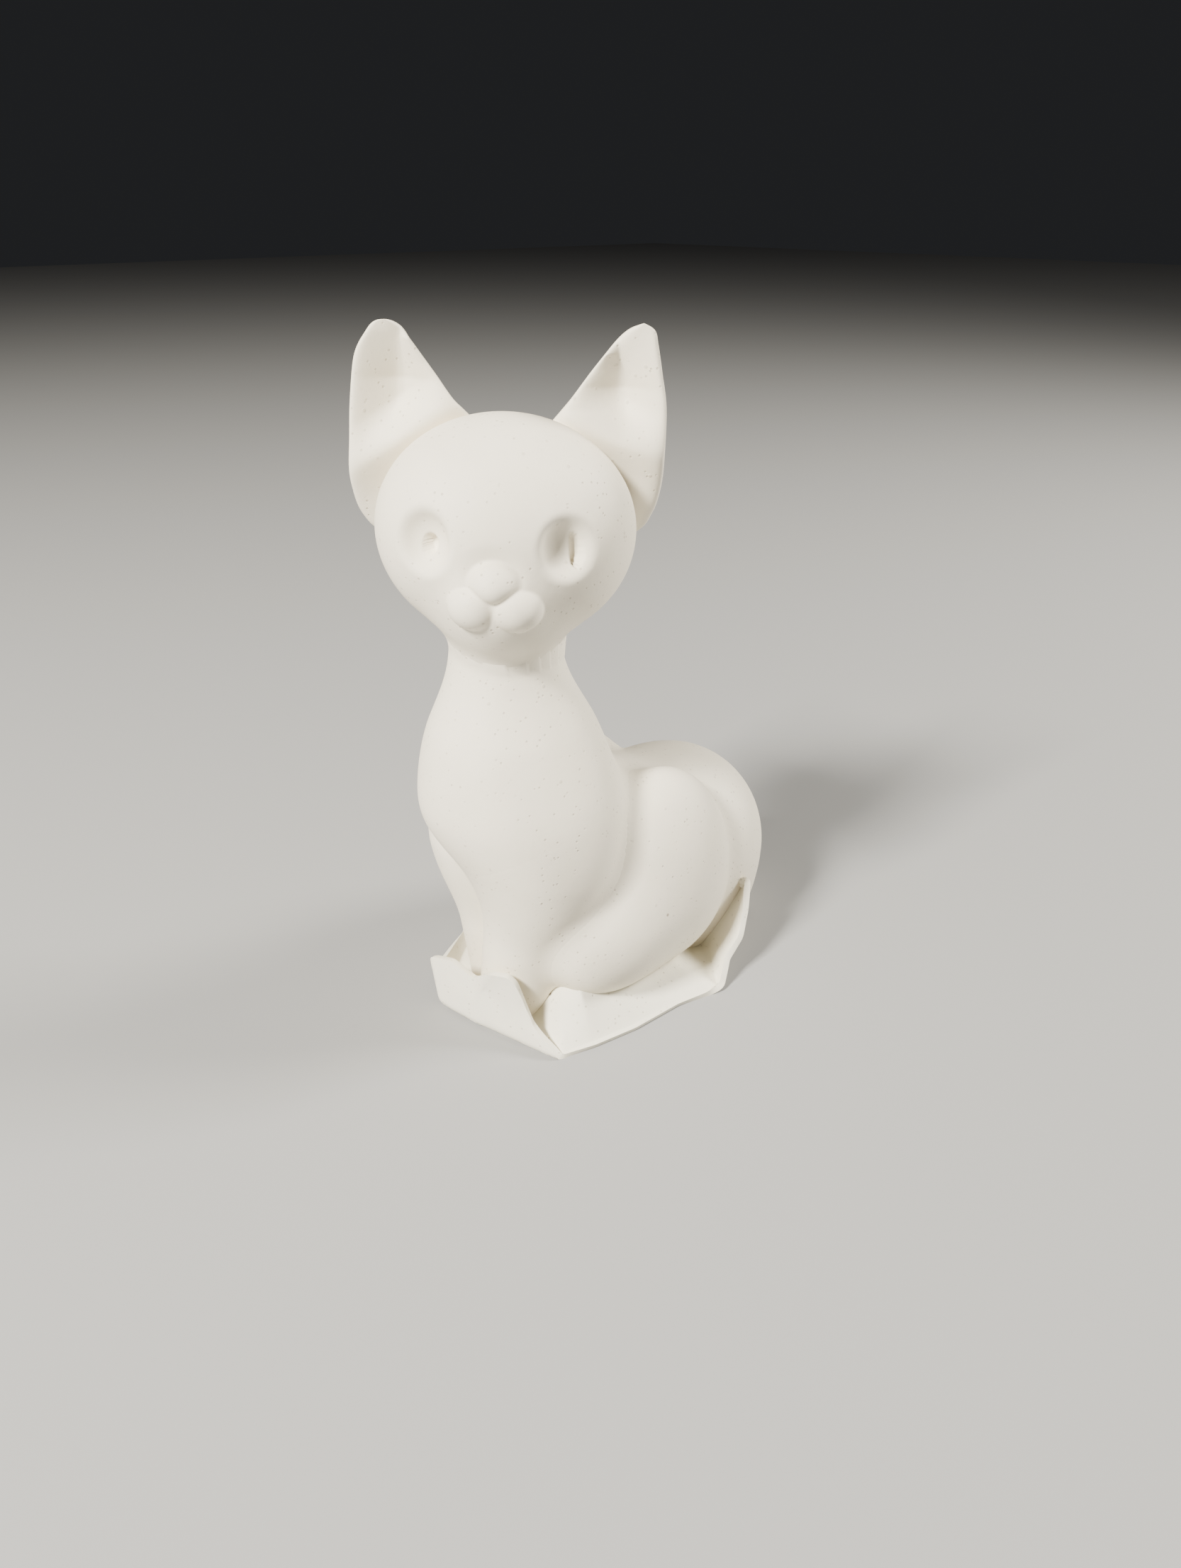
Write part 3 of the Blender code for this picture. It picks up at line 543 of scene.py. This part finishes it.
def tail_grid(rows=120, columns=40):
    """Tail over the way along its line and the angle round it: a circle whose radius falls
    evenly and draws in to a point at each end, in a blunt curve."""
    line = even_curve(TAIL_LINE, rows)
    along = np.linspace(0, 1, rows)
    heading = np.gradient(line, axis=0)
    heading /= np.linalg.norm(heading, axis=1, keepdims=True)
    side = np.cross(heading, (0, 0, 1.0))
    side /= np.linalg.norm(side, axis=1, keepdims=True)
    up = np.cross(side, heading)
    ends = np.sqrt(np.clip(1 - (2 * np.abs(along - 0.5)) ** TAIL_END_POWER, 0, 1))
    radius = (TAIL_RADIUS[0] + (TAIL_RADIUS[1] - TAIL_RADIUS[0]) * along) * ends
    angle = np.linspace(0, 2 * math.pi, columns, endpoint=False)[None, :, None]
    ring = np.cos(angle) * side[:, None] + np.sin(angle) * up[:, None]
    return line[:, None] + radius[:, None, None] * ring


show(make_piece("cat_tail", tail_grid(), clay), "tail")


# Skirt: the thin sheet of clay left round the foot of the casting, trimmed by hand. It is turned
# up in front of the paws and behind the left haunch, where it runs up against the rump, and its
# cream is painted a little cooler than the rest, as painted shade.

SKIRT_THICK = 1.4
SKIRT_EDGE = 0.3
SKIRT_LEAST_STEP = 0.8
SKIRT_SHARP = math.radians(35)
SMOOTH_ROUND_IT = 6
SMOOTH_ACROSS = 3
SMOOTH_NORMAL = 8
SKIRT_STATIONS = (
    # each row is one place round the cat: its root inside the cat, fold, crease and rim, as x, y, z
    (13.0, -21.0, 10.0, 24.4, -30.0, 1.0, 24.7, -30.2, 1.0, 25.0, -30.4, 1.0),
    (18.5, -20.5, 12.0, 26.2, -22.8, 1.2, 26.8, -23.0, 1.1, 27.2, -23.1, 1.0),
    (20.0, -13.0, 9.0, 27.8, -13.0, 1.2, 28.4, -13.0, 1.1, 28.8, -13.0, 1.0),
    (17.0, -4.0, 8.0, 28.2, -0.8, 1.2, 28.7, -0.6, 1.1, 29.1, -0.4, 1.0),
    (17.0, 6.0, 6.5, 29.8, 7.1, 1.3, 30.3, 7.2, 1.2, 30.7, 7.4, 1.2),
    (16.0, 10.0, 4.5, 30.4, 10.8, 1.4, 30.6, 11.0, 1.6, 30.8, 11.2, 2.0),
    (14.0, 18.0, 1.4, 19.9, 18.7, 2.6, 24.6, 16.6, 4.5, 29.1, 14.4, 6.4),
    (16.0, 21.5, 6.5, 21.5, 21.2, 7.8, 25.0, 20.4, 8.7, 28.5, 19.5, 9.6),
    (17.0, 26.0, 12.5, 22.2, 25.0, 13.4, 24.4, 24.0, 13.6, 26.4, 22.9, 13.8),
    (17.0, 29.0, 16.0, 21.8, 28.4, 17.2, 22.8, 27.4, 18.0, 23.6, 26.2, 18.9),
    (12.0, 30.0, 8.0, 17.4, 31.6, 8.0, 17.9, 32.0, 8.6, 18.3, 32.4, 9.0),
    (8.0, 32.0, 1.5, 10.4, 39.0, 1.3, 10.8, 40.2, 1.6, 11.2, 41.2, 2.0),
    (0.0, 34.0, 1.5, 0.0, 49.5, 1.3, 0.0, 51.5, 1.6, 0.0, 53.5, 2.0),
    (-10.0, 32.0, 1.5, -18.0, 49.0, 1.3, -19.0, 50.4, 2.6, -20.0, 51.6, 4.0),
    (-16.0, 20.0, 1.5, -35.0, 23.0, 1.3, -36.2, 23.5, 2.0, -37.4, 24.0, 3.0),
    (-16.0, 2.0, 1.5, -36.0, -3.0, 1.3, -37.0, -3.2, 2.4, -38.0, -3.4, 3.6),
    (-14.0, -8.0, 1.5, -23.0, -17.0, 1.3, -23.6, -17.8, 1.8, -24.2, -18.6, 2.4),
    (-6.5, -21.0, 2.5, -9.0, -34.6, 1.3, -10.0, -35.2, 3.5, -11.0, -35.6, 6.0),
    (-6.0, -22.0, 3.0, -6.6, -37.4, 0.9, -8.4, -37.0, 5.6, -10.2, -36.5, 10.5),
    (-5.0, -22.0, 3.0, -3.0, -37.2, 0.9, -3.3, -36.8, 6.8, -3.6, -36.1, 12.8),
    (-1.0, -24.5, 3.0, 4.6, -35.9, 0.9, 3.6, -35.4, 5.8, 2.5, -34.7, 10.7),
    (1.0, -25.0, 3.0, 8.3, -35.0, 0.9, 5.6, -34.4, 9.7, 8.2, -34.4, 15.0),
    (3.0, -26.0, 3.0, 11.5, -34.1, 0.9, 9.0, -33.7, 8.2, 11.7, -33.1, 15.6),
    (4.5, -26.0, 3.2, 14.0, -33.4, 0.9, 12.0, -33.1, 6.8, 13.4, -32.3, 14.2),
    (6.0, -25.0, 3.6, 16.7, -32.6, 0.9, 15.0, -32.5, 5.3, 14.8, -31.6, 9.9),
    (7.5, -24.5, 4.2, 19.5, -31.8, 0.9, 18.0, -31.8, 3.4, 17.1, -31.3, 5.6),
    (9.0, -23.5, 5.5, 22.0, -31.0, 0.9, 21.0, -31.2, 1.9, 20.2, -31.0, 3.6),
    (11.0, -22.5, 7.5, 23.8, -30.3, 0.9, 23.9, -30.3, 1.0, 23.8, -30.2, 1.6),
)


def eased_round(values, axis):
    """Each value averaged with its two neighbours, along an axis that comes back on itself."""
    return (np.roll(values, 1, axis=axis) + 2 * values + np.roll(values, -1, axis=axis)) / 4


def eased_across(values):
    """Each row averaged with the rows before and after it, the first and last left as they are."""
    eased = values.copy()
    eased[1:-1] = (values[:-2] + 2 * values[1:-1] + values[2:]) / 4
    return eased


def unit(vectors):
    """Vectors brought to a length of one."""
    return vectors / np.maximum(np.linalg.norm(vectors, axis=-1, keepdims=True), 1e-9)


def skirt_grid(columns=900, rows=14):
    """Skirt over the way round it and the way across: root to fold to crease to rim, straight
    between them, rounded a little at each, then back at the sheet's thickness along its normal."""
    line = np.array(SKIRT_STATIONS + SKIRT_STATIONS[:1], float).reshape(-1, 4, 3)
    length = np.linalg.norm(np.diff(line[:, 1:].mean(axis=1), axis=0), axis=1)
    knots = np.concatenate([[0], np.cumsum(np.maximum(length, SKIRT_LEAST_STEP))])
    wanted = np.linspace(0, knots[-1], columns, endpoint=False)
    flat = line.reshape(len(line), -1)
    at = np.stack([np.interp(wanted, knots, flat[:, k]) for k in range(flat.shape[1])], -1)
    for _ in range(SMOOTH_ROUND_IT):
        at = eased_round(at, axis=0)
    at = at.reshape(columns, 4, 3).swapaxes(0, 1)
    part = np.linspace(0, 1, rows, endpoint=False)[:, None, None]
    spans = [at[k] + (at[k + 1] - at[k]) * part for k in range(3)]
    face = np.concatenate(spans + [at[3:]])
    for _ in range(SMOOTH_ACROSS):
        face = eased_across(face)
    round_it = np.roll(face, -1, axis=1) - np.roll(face, 1, axis=1)
    normal = unit(np.cross(np.gradient(face, axis=0), round_it))
    for _ in range(SMOOTH_NORMAL):
        normal = eased_round(eased_across(normal), axis=1)
    back = face - SKIRT_THICK * unit(normal)
    edge = (face[-1:] + back[-1:]) / 2 + SKIRT_EDGE * (face[-1:] - face[-2:-1])
    grid = np.concatenate([face, edge, back[::-1]])
    grid[..., 2] = np.maximum(grid[..., 2], 0.0)
    return grid


def make_ring(name, grid, material):
    """A closed mesh over a grid that comes back on itself both ways, with its edges kept sharp."""
    rows, columns = grid.shape[:2]
    place = np.arange(rows * columns).reshape(rows, columns)
    below, after = np.roll(place, -1, axis=0), np.roll(place, -1, axis=1)
    quads = np.stack([place, below, np.roll(below, -1, axis=1), after], -1).reshape(-1, 4)
    mesh = bpy.data.meshes.new(name)
    mesh.from_pydata((grid.reshape(-1, 3) * MILLIMETRE).tolist(), [], quads.tolist())
    mesh.polygons.foreach_set("use_smooth", np.ones(len(mesh.polygons), bool))
    mesh.set_sharp_from_angle(angle=SKIRT_SHARP)
    mesh.materials.append(material)
    mesh.update()
    piece = bpy.data.objects.new(name, mesh)
    bpy.context.scene.collection.objects.link(piece)
    return piece


# Painted shade: the skirt's cream is made cooler all over, for the cool tint of its shaded faces.
SKIRT_SHADED_CREAM = (0.85, 0.81, 0.69)
SKIRT_SHADED_CLOUD = (0.80, 0.77, 0.66)
skirt_shaded_clay = bisque("skirt_bisque", SKIRT_SHADED_CREAM, SKIRT_SHADED_CLOUD)
skirt = make_ring("cat_skirt", skirt_grid(), skirt_shaded_clay)
show(skirt, "skirt")


# Stage: a plain matte grey floor, which the lamps light to a pale tone round the cat, a soft lamp
# above and to the left, a weaker one to the right, and the photograph's camera, in metres.

FLOOR_HALF = 3
FLOOR_GREY = (0.3, 0.3, 0.3, 1.0)
FLOOR_ROUGHNESS = 0.85
floor_corners = [(-FLOOR_HALF, -FLOOR_HALF, 0), (FLOOR_HALF, -FLOOR_HALF, 0),
                 (FLOOR_HALF, FLOOR_HALF, 0), (-FLOOR_HALF, FLOOR_HALF, 0)]
floor_mesh = bpy.data.meshes.new("floor")
floor_mesh.from_pydata(floor_corners, [], [(0, 1, 2, 3)])
floor = bpy.data.objects.new("floor", floor_mesh)
bpy.context.scene.collection.objects.link(floor)
floor_material = bpy.data.materials.new("floor")
floor_material.use_nodes = True
floor_shader = floor_material.node_tree.nodes["Principled BSDF"]
floor_shader.inputs["Base Color"].default_value = FLOOR_GREY
floor_shader.inputs["Roughness"].default_value = FLOOR_ROUGHNESS
floor_mesh.materials.append(floor_material)

CAMERA_AZIMUTH = math.radians(48.0)
CAMERA_PITCH = math.radians(26.87)
CAMERA_AWAY = 0.229
CAMERA_HEIGHT = 0.160
SENSOR_HEIGHT = 36
FOCAL_PIXELS = 1650
PHOTO_PIXELS_HIGH = 2212
NEAREST_SEEN = 0.01
right = Vector((math.cos(CAMERA_AZIMUTH), math.sin(CAMERA_AZIMUTH), 0))
level = Vector((-math.sin(CAMERA_AZIMUTH), math.cos(CAMERA_AZIMUTH), 0))
forward = level * math.cos(CAMERA_PITCH) - Vector((0, 0, math.sin(CAMERA_PITCH)))
place = Matrix((right, right.cross(forward), -forward)).transposed().to_4x4()
place.translation = -CAMERA_AWAY * level + Vector((0, 0, CAMERA_HEIGHT))
camera_data = bpy.data.cameras.new("camera")
camera_data.sensor_fit = "VERTICAL"
camera_data.sensor_height = SENSOR_HEIGHT
camera_data.lens = SENSOR_HEIGHT * FOCAL_PIXELS / PHOTO_PIXELS_HIGH
camera_data.clip_start = NEAREST_SEEN
camera = bpy.data.objects.new("camera", camera_data)
bpy.context.scene.collection.objects.link(camera)
camera.matrix_world = place
bpy.context.scene.camera = camera

LAMP_WHITE = (1.0, 0.955, 0.86)
MIDDLE_OF_CAT = Vector((0, 0, 0.06))


def soft_lamp(name, spot, size, power):
    """A square area lamp that looks at the middle of the cat."""
    data = bpy.data.lights.new(name, "AREA")
    data.size = size
    data.energy = power
    data.color = LAMP_WHITE
    lamp = bpy.data.objects.new(name, data)
    bpy.context.scene.collection.objects.link(lamp)
    lamp.location = spot
    lamp.rotation_euler = (MIDDLE_OF_CAT - lamp.location).to_track_quat("-Z", "Y").to_euler()


key_spot = -0.58 * right - 0.62 * level + Vector((0, 0, 0.8))
fill_spot = 0.8 * right + 0.15 * level + Vector((0, 0, 0.6))
soft_lamp("key", key_spot, size=0.2, power=47.0)
soft_lamp("fill", fill_spot, size=0.3, power=18.0)

ROOM_COLOUR = (0.9, 0.93, 1.0, 1.0)
ROOM_STRENGTH = 0.02
world = bpy.data.worlds.new("studio")
world.use_nodes = True
world.node_tree.nodes["Background"].inputs["Color"].default_value = ROOM_COLOUR
world.node_tree.nodes["Background"].inputs["Strength"].default_value = ROOM_STRENGTH
bpy.context.scene.world = world
